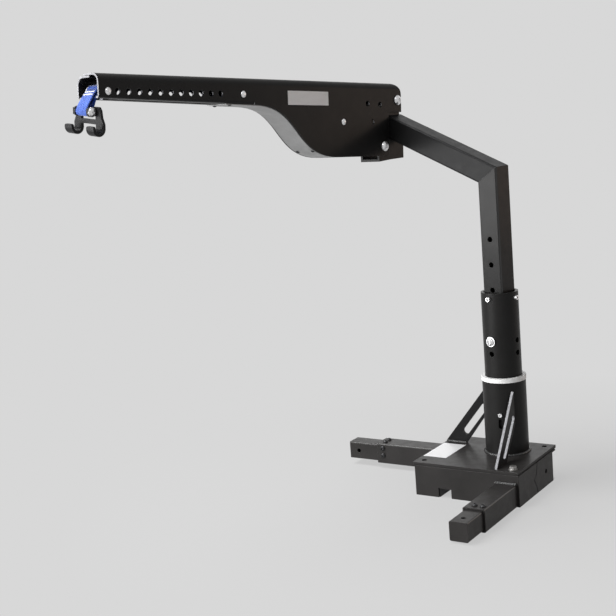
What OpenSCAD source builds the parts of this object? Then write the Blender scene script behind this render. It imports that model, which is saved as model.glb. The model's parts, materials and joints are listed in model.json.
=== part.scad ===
// Pedestal jib crane with a swinging mast, a sheet steel boom and a webbing hoist.
// Origin: pedestal axis at floor level. +X runs along the base's front edge, +Y to its back, +Z up.

/* [Base] */
// Width of the top plate, along X
plate_w = 223; // [200:1:260]
// Depth of the top plate, along Y
plate_d = 192; // [180:1:240]
// Thickness of the top plate
plate_t = 6; // [4:0.5:10]
// Distance from the pedestal axis to the plate's left edge
plate_left = 145; // [130:1:160]
// Distance from the pedestal axis to the plate's front edge
plate_front = 132; // [120:1:140]
// Distance of the bolt holes from the plate's edges
bolt_inset = 17; // [12:0.5:20]
// Diameter of the floor bolt holes
floor_hole_d = 11; // [8:0.5:14]
// Height of the sheet steel box under the plate
box_h = 61; // [56:1:90]
// Sheet thickness of the box
box_t = 3; // [2:0.25:4]
// How far the box stands inside the plate's left edge
box_inset = 4; // [1:0.5:8]
// How far the box stands proud of the plate at the front and right
box_proud = 2; // [0:0.5:4]
// How far the plate reaches past the box at the back
box_back_gap = 24; // [24:1:40]
// Outer width of the channel that bridges a floor rail
channel_w = 28; // [16:1:50]
// Outer height of that channel
channel_h = 19; // [12:1:30]
// Wall of that channel
channel_t = 2; // [1:0.25:4]
// Diameter of the bolt in the plate's front right hole
bolt_d = 8; // [6:0.5:10]
// Distance from the box's left side to the channel
channel_x = 50; // [30:1:70]
// Diameter of the cable hole in the box's right side
side_hole_d = 10; // [6:0.5:16]

/* [Legs] */
// Outer width of the leg sockets
socket_w = 44; // [40:0.5:46]
// Wall of the leg sockets
socket_wall = 3.2; // [2:0.1:4]
// Clearance between a leg and its socket, on each side
leg_gap = 0.4; // [0.2:0.05:0.8]
// Wall of the sliding legs
leg_wall = 3; // [2:0.1:4]
// Length of the left socket
left_socket_len = 159; // [100:1:220]
// Length of the front socket
front_socket_len = 144; // [100:1:220]
// Length of each sliding leg
leg_len = 170; // [150:1:200]
// How far the left leg stands out of its socket
left_leg_out = 67; // [20:1:80]
// How far the front leg stands out of its socket
front_leg_out = 61; // [20:1:80]
// Height of the left socket above the floor
left_socket_z = 10.5; // [0:0.5:13]
// Distance of the left socket's centre line behind the pedestal axis
left_socket_y = 14.5; // [-20:0.5:15]
// Distance of the front socket's centre line right of the pedestal axis
front_socket_x = 53.5; // [30:0.5:55]
// Diameter of the pin hole near each leg's end
leg_hole_d = 9; // [6:0.5:14]
// Distance of that hole from the leg's end
leg_hole_in = 19; // [14:1:30]

/* [Pedestal] */
// Outer diameter of the pedestal tube
pedestal_d = 86; // [84:0.5:90]
// Height of the pedestal tube above the plate
pedestal_h = 147.5; // [130:0.5:220]
// Outer diameter of the swivel tube
swivel_d = 73; // [71:0.5:75]
// Wall of the swivel tube
swivel_wall = 5.2; // [3:0.1:5.4]
// Height of the swivel tube above the nylon ring
swivel_h = 168.5; // [120:0.5:260]
// Wall of the nylon bushes
bush_wall = 2.6; // [1.6:0.1:3.5]
// Height of the nylon ring that shows between the tubes
ring_h = 8.5; // [4:0.5:14]
// Running clearance of the swivel tube in its bushes, on each side
swivel_gap = 0.06; // [0.02:0.01:0.1]
// Thickness of the gussets
gusset_t = 5; // [3:0.5:8]
// Distance of the left gusset behind the pedestal axis
gusset_left_y = 21; // [10:1:26]
// Distance of the front gusset right of the pedestal axis
gusset_front_x = 31; // [20:1:33]
// Width of the slot in a gusset
gusset_slot_w = 14; // [8:0.5:16]
// Rise of the left gusset's outer edge, for each mm along the plate
gusset_left_slope = 1.265; // [1.1:0.005:1.4]
// Rise of the front gusset's outer edge, for each mm along the plate
gusset_front_slope = 1.36; // [1.2:0.005:1.45]

/* [Mast] */
// Width of the square mast tube
mast_w = 44.5; // [42:0.5:46]
// Wall of the mast tube
mast_wall = 3.2; // [2:0.1:4]
// Corner radius of the mast tube
mast_r = 4; // [3.5:0.5:6]
// Height of the elbow's centre above the floor
elbow_z = 621; // [560:1:700]
// Length of the mast below the lock bolt's hole
mast_tail = 64; // [40:1:90]
// Spacing of the height holes
height_pitch = 50; // [40:1:60]
// Height of the lock bolt above the nylon ring
lock_z = 73; // [60:1:90]
// Diameter of the height holes
height_hole_d = 11; // [8:0.5:13]
// Rise of the arm above horizontal, in degrees
arm_rise = 23; // [10:1:35]
// Distance from the mast axis to the boom's near wall
arm_reach = 233; // [200:1:300]
// Direction of the boom, in degrees clockwise from the base's front, seen from above
boom_swing = 11; // [0:1:30]

/* [Boom] */
// Outer width of the boom
boom_w = 58; // [56:0.5:70]
// Length of the boom ahead of the mast's axis
boom_len = 737; // [680:1:800]
// Rise of the boom towards its tip, in degrees
boom_rise = 3.9; // [0:0.1:6]
// Sheet thickness of the boom
boom_t = 3; // [2:0.25:4]
// Depth of the boom at its tip
tip_depth = 40.6; // [40:0.2:46]
// Depth of the boom where it meets the head
root_depth = 47.5; // [46:0.1:54]
// Depth of the head
head_depth = 146.5; // [142:0.5:160]
// Height of the head's top above the arm's centre line
head_above_arm = 89.5; // [84:0.5:96]
// Where the head's flat bottom ends, ahead of the mast's axis
head_flat_end = 172; // [165:1:185]
// Where the slim part of the boom begins, ahead of the mast's axis
slim_start = 393; // [375:1:405]
// How far the head reaches behind the mast's axis
head_back = 21; // [19:1:30]
// Radius of the boom's upper bends
bend_r = 15; // [8:0.5:18]
// Radius of the bends of the lower lips
lip_r = 6; // [4.5:0.5:9]
// Width of the lower lips
lip_w = 21; // [14:0.5:24]
// Diameter of the row of holes along the boom
row_hole_d = 11; // [7:0.5:14]
// Spacing of that row
row_pitch = 22.4; // [18:0.1:26]
// Distance of the roller pins and of the row of holes below the boom's top
pin_drop = 29.5; // [28:0.5:30.5]
// Diameter of the head bolts
head_bolt_d = 12; // [10:0.5:13]
// Wall of the grey cover under the head
cover_t = 1.5; // [1:0.1:2.5]

/* [Hoist] */
// Width of the webbing
strap_w = 28; // [20:0.5:34]
// Thickness of the webbing
strap_t = 2; // [1:0.1:3]
// Radius of the webbing wound on the drum
coil_r = 36; // [28:0.5:38]
// Radius of the drum's flanges
drum_r = 45; // [42:0.5:48]
// Radius of the drum's core
drum_core_r = 18; // [12:0.5:24]
// Radius of the tip roller
tip_roller_r = 9.5; // [8:0.5:11]
// Radius of the guide roller
guide_roller_r = 8; // [6.5:0.5:8]
// Diameter of the roller and drum pins
pin_d = 9; // [6:0.5:10]
// Running clearance of rollers, drum and hook on their pins, on each side
pin_gap = 0.05; // [0.02:0.01:0.1]
// Radius of the drive motor
motor_r = 21; // [16:0.5:21]
// Length of the drive motor
motor_len = 68; // [50:1:70]

/* [Hook] */
// Width over the hook's two legs
hook_w = 78; // [74:1:88]
// Width of each leg
hook_leg_w = 19.5; // [17:0.5:22]
// Thickness of the hook
hook_t = 5; // [4:0.5:6]
// Inner radius of the two hooks' curls
hook_r = 7.2; // [6:0.1:9]
// Height from the hook's lowest point to the middle of its pin
hook_h = 38; // [37:0.5:46]
// Diameter of the hook's pin
hook_pin_d = 8; // [6:0.5:9]
// Distance from the tip roller's centre down to the hook's pin
hook_drop = 29.5; // [28:0.5:40]
// Distance from the tip roller's centre forward to the hook's pin
hook_lead = 30; // [28:0.5:36]
// Tilt of the hook and its webbing loop to the near side, in degrees
hook_tilt = 7; // [0:0.5:8]

/* [Hidden] */

$fn = 48;
eps = 0.01;
through = 400;
big = 1200;

black = [0.07, 0.07, 0.075];
steel = [0.78, 0.78, 0.8];
nylon = [0.93, 0.93, 0.92];
grey = [0.55, 0.55, 0.56];
blue = [0.1, 0.25, 0.85];

// Levels of the base and the pedestal
plate_z = box_h + plate_t;
pedestal_top = plate_z + pedestal_h;
ring_top = pedestal_top + ring_h;
swivel_top = ring_top + swivel_h;
swivel_id = swivel_d - 2 * swivel_wall;
bush_id = swivel_d + 2 * swivel_gap;
pedestal_id = bush_id + 2 * bush_wall;
pedestal_wall = (pedestal_d - pedestal_id) / 2;
washer_t = 3;
seat_gap = 0.1;
screw_fit = 0.2;
swivel_floor = plate_z + washer_t;
lock_level = ring_top + lock_z;

// Edges of the plate and of the box
plate_x0 = -plate_left;
plate_x1 = plate_x0 + plate_w;
plate_y0 = -plate_front;
plate_y1 = plate_y0 + plate_d;
box_x0 = plate_x0 + box_inset;
box_x1 = plate_x1 + box_proud;
box_y0 = plate_y0 - box_proud;
box_y1 = plate_y1 - box_back_gap;
hem = 16;
seam_y = box_y0 + 88;
seam_gap = 1;
plate_bore = 40;
channel_x0 = box_x0 + channel_x;
foot_d = 2 * (box_y1 - box_t) - 1;
foot_wall = 6;

// Legs and sockets
leg_w = socket_w - 2 * (socket_wall + leg_gap);
left_socket_end = box_x0 - left_socket_len;
front_socket_end = box_y0 - front_socket_len;
left_leg_end = left_socket_end - left_leg_out;
front_leg_end = front_socket_end - front_leg_out;
leg_r = 3;
cap_t = 3;
screw_gap = 0.3;
lock_angle = -80;
lock_hole_z = 83;
lock_screw_d = 8;
rim_screw_d = 9;
rim_screw_drop = 11;
set_screw_d = 7;
set_screw_head_d = 11;
set_screw_head_h = 4.5;
set_screw_apart = 16;
set_screw_in = 14;
set_screw_shift = 4;

// Elbow, arm and head, in the frame that turns with the mast
mitre = (90 - arm_rise) / 2;
arm_end_z = elbow_z + arm_reach * tan(arm_rise);
boom_root_z = arm_end_z + head_above_arm;
near_x = -arm_reach;
far_x = near_x - boom_w;
mid_x = near_x - boom_w / 2;
lap = 1.2 * boom_t;
near_flange = boom_w / 2 + 10;
far_flange = boom_w / 2 + 5;

// Places along the boom (u) and below its top (v)
taper = atan((root_depth - tip_depth) / (boom_len - slim_start));
tip_u = boom_len - 19;
guide_u = 420;
drum_u = 155;
drum_v = -78.3;
row_first = tip_u - 19;
row_count = 11;
upper_bolt = [-9, -34];
lower_bolt = [34, -127];
spare_holes = [[83.5, -42], [45.7, -44], [70, -78]];
notch_u = 19;
notch_v = -58;
bracket_front = 47;
bracket_t = 5;
side_gap = 1;
bolt_head_d = 20;
cheek_x = near_x - boom_t - side_gap;
bracket_w = boom_w - 2 * (boom_t + side_gap);
cover_start = bracket_front + 2;
cover_screw_u = [237, 447];
cover_screw_d = 4;
cover_end = cover_screw_u[1] + 13;

// Path of the webbing in the boom and at its tip
strap_x = mid_x + strap_w / 2;
strap_gap = 0.3;
drum_w = strap_w + 2;
drum_flange_t = 2.5;
drum_x = mid_x + drum_w / 2 + drum_flange_t;
drum_side_gap = 0.8;
wall_gap = 0.2;
motor_rise = 12;
nose_u = drum_u + drum_r + 3;
nose_t = 11;
tip_wrap = 63;
loop_tail = 6;

// Tip roller's centre and hook pin, in the frame that turns with the mast
roller_s = tip_u * cos(boom_rise) + pin_drop * sin(boom_rise);
roller_z = boom_root_z + tip_u * sin(boom_rise) - pin_drop * cos(boom_rise);
pin_s = roller_s + hook_lead;
pin_z = roller_z - hook_drop;
sleeve_r = hook_pin_d / 2 + 1.2;
ear_x = strap_w / 2 + 6.5;
ear_t = 5;
hook_back = 12;
hook_nut_t = 3;
ear_top = 8;
curl_z = hook_r + hook_t - hook_h;

// Square with round corners, centred
module rounded_square(w, r) {
  square([w, w - 2 * r], center = true);
  square([w - 2 * r, w], center = true);
  for (x = [-1, 1], y = [-1, 1])
    translate([x * (w / 2 - r), y * (w / 2 - r)]) circle(r);
}

// Square tube section
module tube_section(w, wall, r) {
  difference() {
    rounded_square(w, r);
    rounded_square(w - 2 * wall, max(r - wall, 0.8));
  }
}

// Rectangle between two corners
module between(a, b) {
  translate(a) square(b - a);
}

// Turns with the mast: -Y runs towards the boom's tip, -X towards the arm's end
module swung() {
  rotate([0, 0, -boom_swing]) children();
}

// Stands in the boom's own frame: -Y along the boom, Z square to its top
module on_boom() {
  swung() translate([0, 0, boom_root_z]) rotate([-boom_rise, 0, 0]) children();
}

// Draws an outline of (u, v) points as a plate from x towards -X
module boom_plate(x, t) {
  translate([x, 0, 0]) rotate([90, 0, -90]) linear_extrude(t) children();
}

// Round bar along the boom's width, from x towards -X
module boom_bar(u, v, x, len, d) {
  translate([x, -u, v]) rotate([0, -90, 0]) cylinder(d = d, h = len);
}

// Hexagon head, base on z = 0
module hex_head(d, h) {
  cylinder(d = d, h = h, $fn = 6);
}

// Domed head with a socket, base on z = 0
module button_head(d, h, socket) {
  difference() {
    intersection() {
      cylinder(d = d, h = h);
      translate([0, 0, h - 0.62 * d]) sphere(0.62 * d);
    }
    translate([0, 0, h / 2]) cylinder(d = socket, h = h, $fn = 6);
  }
}

// Smooth domed head, base on z = 0
module dome_head(d, h) {
  intersection() {
    cylinder(d = d, h = h);
    translate([0, 0, h - 0.62 * d]) sphere(0.62 * d);
  }
}

// Seam between the box's two folded pieces, as (y, z) points from the floor up, moved by shift
function seam(shift) = [for (p = [[-1, 0], [-2.6, 0.2], [-14.4, 0.51], [-3.5, 0.63], [3.2, 1]])
  [seam_y + p[0] + shift, p[1] * box_h]];

// The box's four walls, with the notches for the channel
module box_walls() {
  difference() {
    translate([box_x0, box_y0, 0]) cube([box_x1 - box_x0, box_y1 - box_y0, box_h]);
    translate([box_x0 + box_t, box_y0 + box_t, -1])
      cube([box_x1 - box_x0 - 2 * box_t, box_y1 - box_y0 - 2 * box_t, box_h + 2]);
    translate([channel_x0, box_y0 - 1, -1])
      cube([channel_w, box_y1 - box_y0 + 2, channel_h + 1]);
  }
}

// Draws a (y, z) outline as a block right across the box
module across_box() {
  translate([box_x0 - 1, 0, 0]) rotate([90, 0, 90]) linear_extrude(box_x1 - box_x0 + 2) children();
}

// Front and side walls, folded from one sheet
module base_box() {
  color(black) intersection() {
    box_walls();
    across_box()
      polygon(concat([[box_y0 - 1, 0]], seam(-seam_gap / 2), [[box_y0 - 1, box_h]]));
  }
}

// Back and side walls, folded from one sheet, with a hemmed lip under the plate's back
module base_box_rear() {
  color(black) difference() {
    union() {
      intersection() {
        box_walls();
        across_box()
          polygon(concat([[box_y1 + 1, 0]], seam(seam_gap / 2), [[box_y1 + 1, box_h]]));
      }
      translate([box_x0, box_y1 - eps, box_h - box_t])
        cube([box_x1 - box_x0, hem, box_t]);
    }
    translate([box_x1 - box_t - 1, 0, box_h / 2]) rotate([0, 90, 0])
      cylinder(d = side_hole_d, h = box_t + 2);
    floor_holes(-1, through);
  }
}

module floor_holes(z, h) {
  for (x = [plate_x0 + bolt_inset, plate_x1 - bolt_inset],
       y = [plate_y0 + bolt_inset, plate_y1 - bolt_inset])
    translate([x, y, z]) cylinder(d = floor_hole_d, h = h);
}

module base_plate() {
  color(black) difference() {
    translate([plate_x0, plate_y0, box_h]) cube([plate_w, plate_d, plate_t]);
    floor_holes(0, through);
    cylinder(d = plate_bore, h = through);
  }
}

module floor_channel() {
  len = box_y1 - box_y0 - 2 * box_t;
  color(black) translate([channel_x0, box_y0 + box_t, 0]) difference() {
    cube([channel_w, len, channel_h]);
    translate([channel_t, -1, -1])
      cube([channel_w - 2 * channel_t, len + 2, channel_h - channel_t + 1]);
  }
}

module rating_label() {
  w = 50;
  d = 92;
  edge = 2;
  color("white") translate([plate_x0 + edge, plate_y0 + 2 * bolt_inset + 8, plate_z])
    cube([w, d, 0.3]);
}

module base_bolt() {
  washer_h = 1.6;
  head_h = 5.5;
  below = 20;
  color(steel) translate([plate_x1 - bolt_inset, plate_y0 + bolt_inset, 0]) {
    translate([0, 0, plate_z]) cylinder(d = 2.2 * bolt_d, h = washer_h);
    translate([0, 0, plate_z + washer_h]) hex_head(1.85 * bolt_d, head_h);
    translate([0, 0, box_h - below]) cylinder(d = bolt_d, h = plate_t + below + eps);
  }
}

// Weld bead of quarter-round section, along +X from the origin, in the corner above y = 0
module bead(len, r) {
  rotate([90, 0, 90]) linear_extrude(len) intersection() {
    circle(r);
    square(r + 1);
  }
}

module base_welds() {
  bead_r = 4;
  color(black) {
    rotate_extrude() intersection() {
      translate([pedestal_d / 2, plate_z]) circle(bead_r);
      translate([pedestal_d / 2, plate_z]) square(bead_r + 1);
    }
    translate([plate_x0 + 1, gusset_left_y - gusset_t / 2, plate_z]) mirror([0, 1, 0]) bead(46, 3.5);
    translate([front_socket_x - socket_w / 2, box_y0, socket_w]) mirror([0, 1, 0]) bead(socket_w, bead_r);
  }
}

// Where a gusset meets the pedestal, when its nearer face stands offset from the axis
function gusset_root(offset) = sqrt(pow(pedestal_d / 2, 2) - offset * offset) + seat_gap;

// Slotted gusset: x is the distance from the pedestal axis, y the height above the plate
module gusset(reach, root, slope, slot_low, slot_high) {
  foot = 45;
  toe = 3;
  inner_slope = 1.36;
  low = reach - foot;
  difference() {
    polygon([[reach, 0], [reach, toe], [root, toe + (reach - root) * slope],
      [root, (low - root) * inner_slope], [low, 0]]);
    hull() {
      translate(slot_low) circle(gusset_slot_w / 2, $fn = 32);
      translate(slot_high) circle(gusset_slot_w / 2, $fn = 32);
    }
  }
}

module gusset_left() {
  reach = plate_left - 1;
  root = gusset_root(gusset_left_y - gusset_t / 2);
  slot_low = [reach - 46, 26];
  run = slot_low[0] - root - 17;
  color(black) translate([0, gusset_left_y, plate_z]) mirror([1, 0, 0]) rotate([90, 0, 0])
    translate([0, 0, -gusset_t / 2]) linear_extrude(gusset_t)
      gusset(reach, root, gusset_left_slope, slot_low, slot_low + run * [-1, gusset_left_slope]);
}

module gusset_front() {
  reach = plate_front - 6;
  root = gusset_root(gusset_front_x - gusset_t / 2);
  slot_low = [reach - 37.5, 17.3];
  run = slot_low[0] - root - 9;
  slot_slope = 1.27;
  color(black) translate([gusset_front_x, 0, plate_z]) rotate([0, 0, 90]) mirror([1, 0, 0])
    rotate([90, 0, 0]) translate([0, 0, -gusset_t / 2]) linear_extrude(gusset_t)
      gusset(reach, root, gusset_front_slope, slot_low, slot_low + run * [-1, slot_slope]);
}

module pedestal_foot() {
  foot_t = 8;
  color(black) {
    cylinder(d = foot_d, h = foot_t);
    translate([0, 0, foot_t]) difference() {
      cylinder(d = foot_d - 2, h = box_h - foot_t);
      cylinder(d = foot_d - 2 - 2 * foot_wall, h = through);
    }
  }
}

module pedestal_tube() {
  color(black) difference() {
    translate([0, 0, plate_z]) cylinder(d = pedestal_d, h = pedestal_h, $fn = 96);
    translate([0, 0, plate_z - 1]) cylinder(d = pedestal_id, h = pedestal_h + 2, $fn = 96);
    lock_slot();
    lock_place() cylinder(d = lock_screw_d + screw_fit, h = pedestal_wall + 2);
  }
}

// Out along the pedestal lock screw, from inside the pedestal's wall
module lock_place() {
  rotate([0, 0, lock_angle]) translate([pedestal_id / 2 - 1, 0, plate_z + lock_hole_z])
    rotate([0, 90, 0]) children();
}

module lock_slot() {
  rotate([0, 0, lock_angle]) translate([0, 0, plate_z + lock_hole_z - 12]) rotate([0, 90, 0])
    translate([0, 0, pedestal_d / 4]) hull() {
      cylinder(d = 8.5, h = pedestal_d / 2);
      translate([12, 0, 0]) cylinder(d = 8.5, h = pedestal_d / 2);
    }
}

module pedestal_lock() {
  color(steel) lock_place() difference() {
    cylinder(d = lock_screw_d, h = pedestal_wall + 4);
    translate([0, 0, pedestal_wall + 1.5]) cylinder(d = lock_screw_d / 2, h = 4, $fn = 6);
  }
}

module upper_bush() {
  sleeve = 40;
  color(nylon) difference() {
    union() {
      translate([0, 0, pedestal_top]) cylinder(d = pedestal_d + 2, h = ring_h, $fn = 96);
      translate([0, 0, pedestal_top - sleeve]) cylinder(d = pedestal_id, h = sleeve + eps, $fn = 96);
    }
    translate([0, 0, pedestal_top - sleeve - 1])
      cylinder(d = bush_id, h = sleeve + ring_h + 2, $fn = 96);
  }
}

module lower_bush() {
  sleeve = 30;
  color(nylon) translate([0, 0, swivel_floor]) difference() {
    cylinder(d = pedestal_id, h = sleeve, $fn = 96);
    translate([0, 0, -1]) cylinder(d = bush_id, h = sleeve + 2, $fn = 96);
  }
}

module thrust_washer() {
  color(nylon) translate([0, 0, plate_z]) difference() {
    cylinder(d = pedestal_id, h = washer_t, $fn = 96);
    translate([0, 0, -1]) cylinder(d = bush_id - 12, h = washer_t + 2, $fn = 96);
  }
}

// Square tube along -X, its middle line through the origin
module tube_left(w, wall, len) {
  rotate([0, -90, 0]) linear_extrude(len) tube_section(w, wall, leg_r);
}

module left_socket() {
  color(black) difference() {
    translate([box_x0, left_socket_y, left_socket_z + socket_w / 2])
      tube_left(socket_w, socket_wall, left_socket_len);
    left_screw_places() cylinder(d = set_screw_d + screw_fit, h = 3 * socket_wall, center = true);
  }
}

module front_socket() {
  color(black) difference() {
    translate([front_socket_x, box_y0, socket_w / 2]) rotate([0, 0, 90])
      tube_left(socket_w, socket_wall, front_socket_len);
    front_screw_places() cylinder(d = set_screw_d + screw_fit, h = 3 * socket_wall, center = true);
  }
}

module left_screw_places() {
  x = left_socket_end + set_screw_in;
  z = left_socket_z + socket_w / 2;
  for (k = [-1, 1]) {
    translate([x, left_socket_y + k * set_screw_apart / 2, z + socket_w / 2]) children();
    translate([x, left_socket_y - socket_w / 2, z + set_screw_shift + k * set_screw_apart / 2])
      rotate([90, 0, 0]) children();
  }
}

module front_screw_places() {
  y = front_socket_end + set_screw_in;
  for (k = [-1, 1])
    translate([front_socket_x + set_screw_shift + k * set_screw_apart / 2, y, socket_w]) children();
}

// Set screw whose tip stops short of the leg, its head on the socket's outer face
module set_screw() {
  tip = -socket_wall - leg_gap + screw_gap;
  translate([0, 0, tip]) cylinder(d = set_screw_d, h = eps - tip);
  button_head(set_screw_head_d, set_screw_head_h, 5);
}

module left_socket_screws() {
  color(steel) left_screw_places() set_screw();
}

module front_socket_screws() {
  color(black) front_screw_places() set_screw();
}

module left_leg() {
  z = left_socket_z + socket_w / 2;
  color(black) difference() {
    translate([left_leg_end + leg_len, left_socket_y, z]) tube_left(leg_w, leg_wall, leg_len);
    translate([left_leg_end + leg_hole_in, left_socket_y, z]) rotate([90, 0, 0])
      cylinder(d = leg_hole_d, h = 2 * leg_w, center = true);
  }
}

module front_leg() {
  color(black) difference() {
    translate([front_socket_x, front_leg_end + leg_len, socket_w / 2]) rotate([0, 0, 90])
      tube_left(leg_w, leg_wall, leg_len);
    translate([front_socket_x, front_leg_end + leg_hole_in, socket_w / 2])
      cylinder(d = leg_hole_d, h = 2 * leg_w, center = true);
  }
}

// Cap of a leg, facing -X, its back on x = 0
module leg_cap() {
  rotate([0, -90, 0]) linear_extrude(cap_t) rounded_square(leg_w, leg_r);
  rotate([0, 90, 0]) linear_extrude(8) square(leg_w - 2 * leg_wall - 0.4, center = true);
}

module left_leg_cap() {
  color(black) translate([left_leg_end, left_socket_y, left_socket_z + socket_w / 2]) leg_cap();
}

module front_leg_cap() {
  color(black) translate([front_socket_x, front_leg_end, socket_w / 2]) rotate([0, 0, 90]) leg_cap();
}

// Turns children to face the tip, the near side, the back and the far side
module four_ways() {
  for (a = [0 : 90 : 270]) rotate([0, 0, a]) children();
}

module swivel_tube() {
  lower_hole = height_pitch / 2;
  color(black) swung() difference() {
    translate([0, 0, swivel_floor]) cylinder(d = swivel_d, h = swivel_top - swivel_floor, $fn = 96);
    translate([0, 0, swivel_floor - 1]) cylinder(d = swivel_id, h = through, $fn = 96);
    for (z = [lock_level, lock_level - lower_hole], a = [0, 90]) rotate([0, 0, a])
      translate([0, 0, z]) rotate([90, 0, 0]) cylinder(d = height_hole_d, h = 100, center = true);
    four_ways() translate([0, 0, swivel_top - rim_screw_drop]) rotate([90, 0, 0])
      cylinder(d = rim_screw_d + screw_fit, h = 60);
  }
}

module rim_screws() {
  color(steel) swung() four_ways()
    translate([0, -mast_w / 2 - screw_gap, swivel_top - rim_screw_drop]) rotate([90, 0, 0]) difference() {
      cylinder(d = rim_screw_d, h = swivel_d / 2 - mast_w / 2 + 5);
      translate([0, 0, swivel_d / 2 - mast_w / 2 + 1]) cylinder(d = 5, h = 10, $fn = 6);
    }
}

module lock_bolt() {
  washer_h = 2;
  head_h = 6;
  seat = swivel_d / 2 + seat_gap;
  color(steel) swung() translate([0, 0, lock_level]) rotate([90, 0, 0]) {
    translate([0, 0, mast_w / 2 + screw_gap])
      cylinder(d = height_hole_d - 1, h = seat - mast_w / 2);
    translate([0, 0, seat]) cylinder(d = 20, h = washer_h);
    translate([0, 0, seat + washer_h]) button_head(15, head_h, 7);
  }
}

// Half space above the mitre plane through the elbow
module above_mitre() {
  translate([0, 0, elbow_z]) rotate([0, -mitre, 0]) translate([-big / 2, -big / 2, 0])
    cube([big, big, big]);
}

module mast_post() {
  bottom = lock_level - mast_tail;
  color(black) swung() difference() {
    translate([0, 0, bottom]) linear_extrude(elbow_z + mast_w - bottom)
      tube_section(mast_w, mast_wall, mast_r);
    above_mitre();
    for (k = [-1 : 4])
      translate([0, 0, lock_level + k * height_pitch]) rotate([90, 0, 0])
        cylinder(d = height_hole_d, h = 2 * mast_w, center = true);
  }
}

module mast_arm() {
  color(black) swung() difference() {
    intersection() {
      translate([0, 0, elbow_z]) rotate([0, arm_rise - 90, 0])
        translate([0, 0, -mast_w]) linear_extrude((arm_reach + 2 * boom_w) / cos(arm_rise))
          tube_section(mast_w, mast_wall, mast_r);
      above_mitre();
    }
    translate([cheek_x - big, -big / 2, 0]) cube([big, big, big]);
  }
}

// Lower edge of the bracket from its rear to its front, as (u, v) points, raised by lift
function bracket_low(lift) = [[-head_back - 9, lift - head_depth - 4.5],
  [11, lift - head_depth - 7.5], [bracket_front, lift - head_depth - 11.5]];

// Outline of the bracket's two cheeks, as (u, v) points
module bracket_cheek() {
  rear = -head_back;
  polygon(concat(bracket_low(0), [[bracket_front, -head_depth - 2.5], [52, -113], [46, -92],
    [20, -16], [rear + 16, -16], [rear + 4, -28], [rear + 2, -62], [rear - 9, -118]]));
}

module head_bracket() {
  low = bracket_low(0);
  high = bracket_low(bracket_t);
  color(black) on_boom() difference() {
    union() {
      boom_plate(cheek_x, bracket_t) bracket_cheek();
      boom_plate(cheek_x - bracket_w + bracket_t, bracket_t) bracket_cheek();
      boom_plate(cheek_x, bracket_w) polygon(concat(low, [high[2], high[1], high[0]]));
    }
    for (p = [upper_bolt, lower_bolt]) boom_bar(p[0], p[1], 0, through, head_bolt_d + 0.6);
  }
}

// Points of the curve from the head's bottom up to the slim part
function curve_point(t) =
  let (a = [head_flat_end, -head_depth], d = [slim_start, -root_depth],
       b = a + [126, 0], c = d - [122, 0], s = 1 - t)
  s * s * s * a + 3 * s * s * t * b + 3 * s * t * t * c + t * t * t * d;
curve_steps = 20;
curve = [for (i = [0 : curve_steps]) curve_point(i / curve_steps)];

function unit(p) = p / norm(p);
function normal_at(points, i) =
  let (a = points[max(i - 1, 0)], b = points[min(i + 1, len(points) - 1)], d = unit(b - a))
  [-d[1], d[0]];

// Outline of a boom wall, its rear corner rounded in short straight steps
module wall_outline() {
  corner = 24;
  rear = [for (a = [0 : 15 : 90])
    [corner * (1 - cos(a)) - head_back, corner * (sin(a) - 1)]];
  polygon(concat([[notch_u, -head_depth], [notch_u, notch_v], [-head_back, notch_v]], rear,
    [[boom_len, 0], [boom_len, -tip_depth]], [for (i = [curve_steps : -1 : 0]) curve[i]]));
}

// Area inside a rounded upper corner: x inwards from the wall, y down from the top
module corner_area(r, w, d) {
  translate([r, -r]) circle(r);
  between([0, -d], [w, -r]);
  between([r, -d], [w, 0]);
}

// Section of a bent shell seen along the boom
module shell_section(flange) {
  d = head_depth + 10;
  difference() {
    corner_area(bend_r, flange, d);
    translate([boom_t, -boom_t]) corner_area(bend_r - boom_t, flange, d);
  }
}

// Draws a section of (x, y) points along the boom from u0 to u1, from face x inwards
module along_boom(x, u0, u1) {
  translate([x, -u0, 0]) rotate([90, 0, 0]) linear_extrude(u1 - u0) children();
}

// Lets the webbing out between the lower lips at the tip
module tip_opening() {
  half = strap_w / 2 + 5;
  translate([mid_x - half, -boom_len - 10, -tip_depth - 5])
    cube([2 * half, boom_len - tip_u + 26, 12]);
}

module wall_holes() {
  for (i = [0 : row_count - 1])
    boom_bar(row_first - i * row_pitch, -pin_drop, 0, through, row_hole_d);
  for (p = spare_holes) boom_bar(p[0], p[1], 0, through, row_hole_d);
  for (u = [tip_u, guide_u]) boom_bar(u, -pin_drop, 0, through, pin_d + screw_fit);
  boom_bar(drum_u, drum_v, 0, through, pin_d + screw_fit);
  cover_screw_places() cylinder(d = cover_screw_d + screw_fit, h = 20, center = true);
  for (p = [upper_bolt, lower_bolt]) boom_bar(p[0], p[1], 0, through, head_bolt_d + 0.6);
}

// Mirrors the near side's shapes to the far side
module far_side() {
  translate([2 * mid_x, 0, 0]) mirror([1, 0, 0]) children();
}

// Draws a section along the slim part's lower edge, from s0 to s1 past its start
module along_lip(s0, s1) {
  translate([near_x, -slim_start, -root_depth]) rotate([-taper, 0, 0])
    translate([0, -s0, 0]) rotate([90, 0, 0]) linear_extrude(s1 - s0) mirror([1, 0]) children();
}

// What the lower bend takes off the near wall's square corner, in straight steps
module bend_cut() {
  along_lip(0, boom_len)
    polygon(concat([[lip_r, -1], [-1, -1], [-1, lip_r]],
      [for (a = [0 : 15 : 90]) [lip_r * (1 - cos(a)), lip_r * (1 - sin(a))]]));
}

// Flat lower lip of the near wall, rooted in the wall
module lower_lip() {
  low = 0.05;
  along_lip(-2, boom_len - slim_start - 1) between([boom_t / 2, low], [lip_w, boom_t]);
}

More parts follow.
